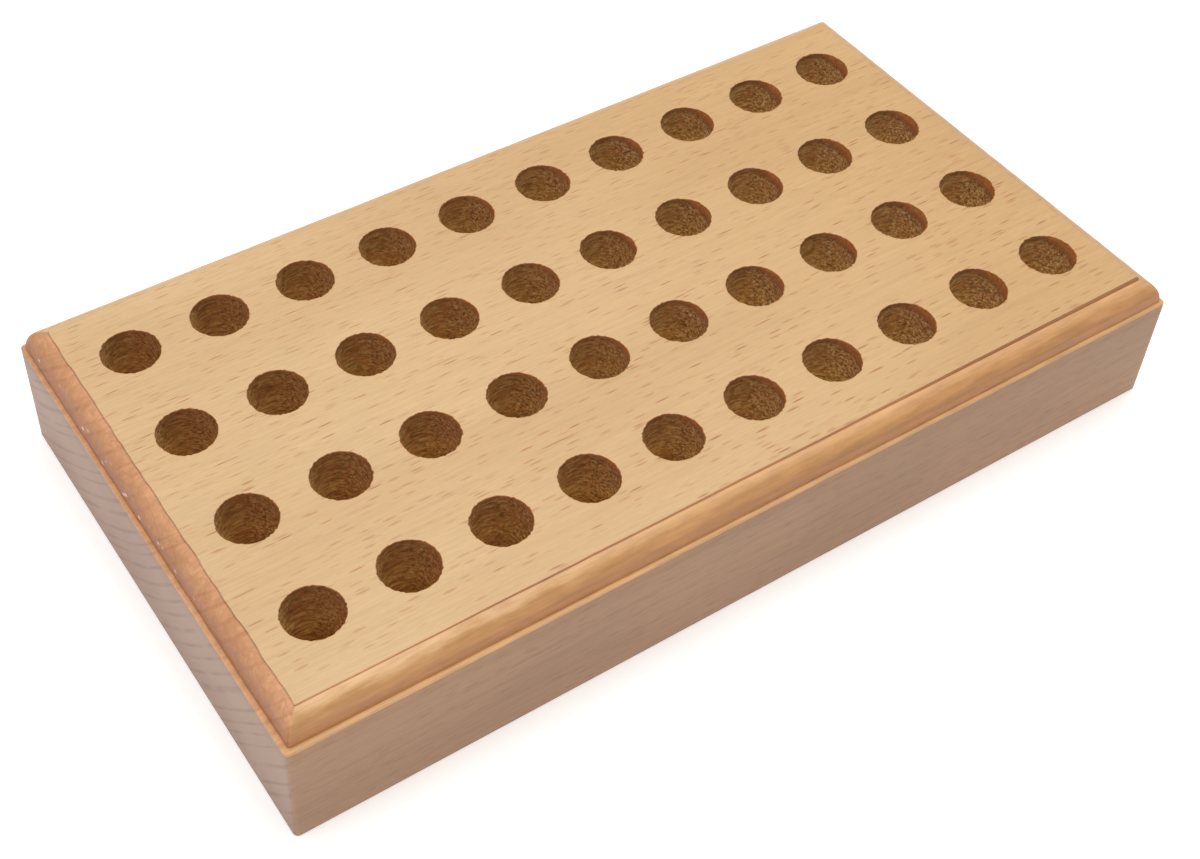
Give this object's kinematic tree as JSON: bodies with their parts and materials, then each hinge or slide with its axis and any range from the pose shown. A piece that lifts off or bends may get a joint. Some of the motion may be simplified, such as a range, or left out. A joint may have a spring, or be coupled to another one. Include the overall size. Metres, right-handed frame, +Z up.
{
  "type": "tool storage caddy",
  "caption": "Rectangular beech block with a moulded top edge and a grid of blind round holes that hold small hobby tools upright.",
  "frame": {"origin": "centre of the flat underside, so the block stands on z = 0", "axes": "+X along the long side and the grain, +Y to the back, +Z up out of the holes"},
  "size_m": [0.1764, 0.0966, 0.027],
  "materials": {
    "oiled_beech": "satin clear-finished European beech, paler on top, more orange on the moulding's end grain"
  },
  "bodies": {
    "root": {"holder_block": "oiled_beech"}
  },
  "joints": []
}
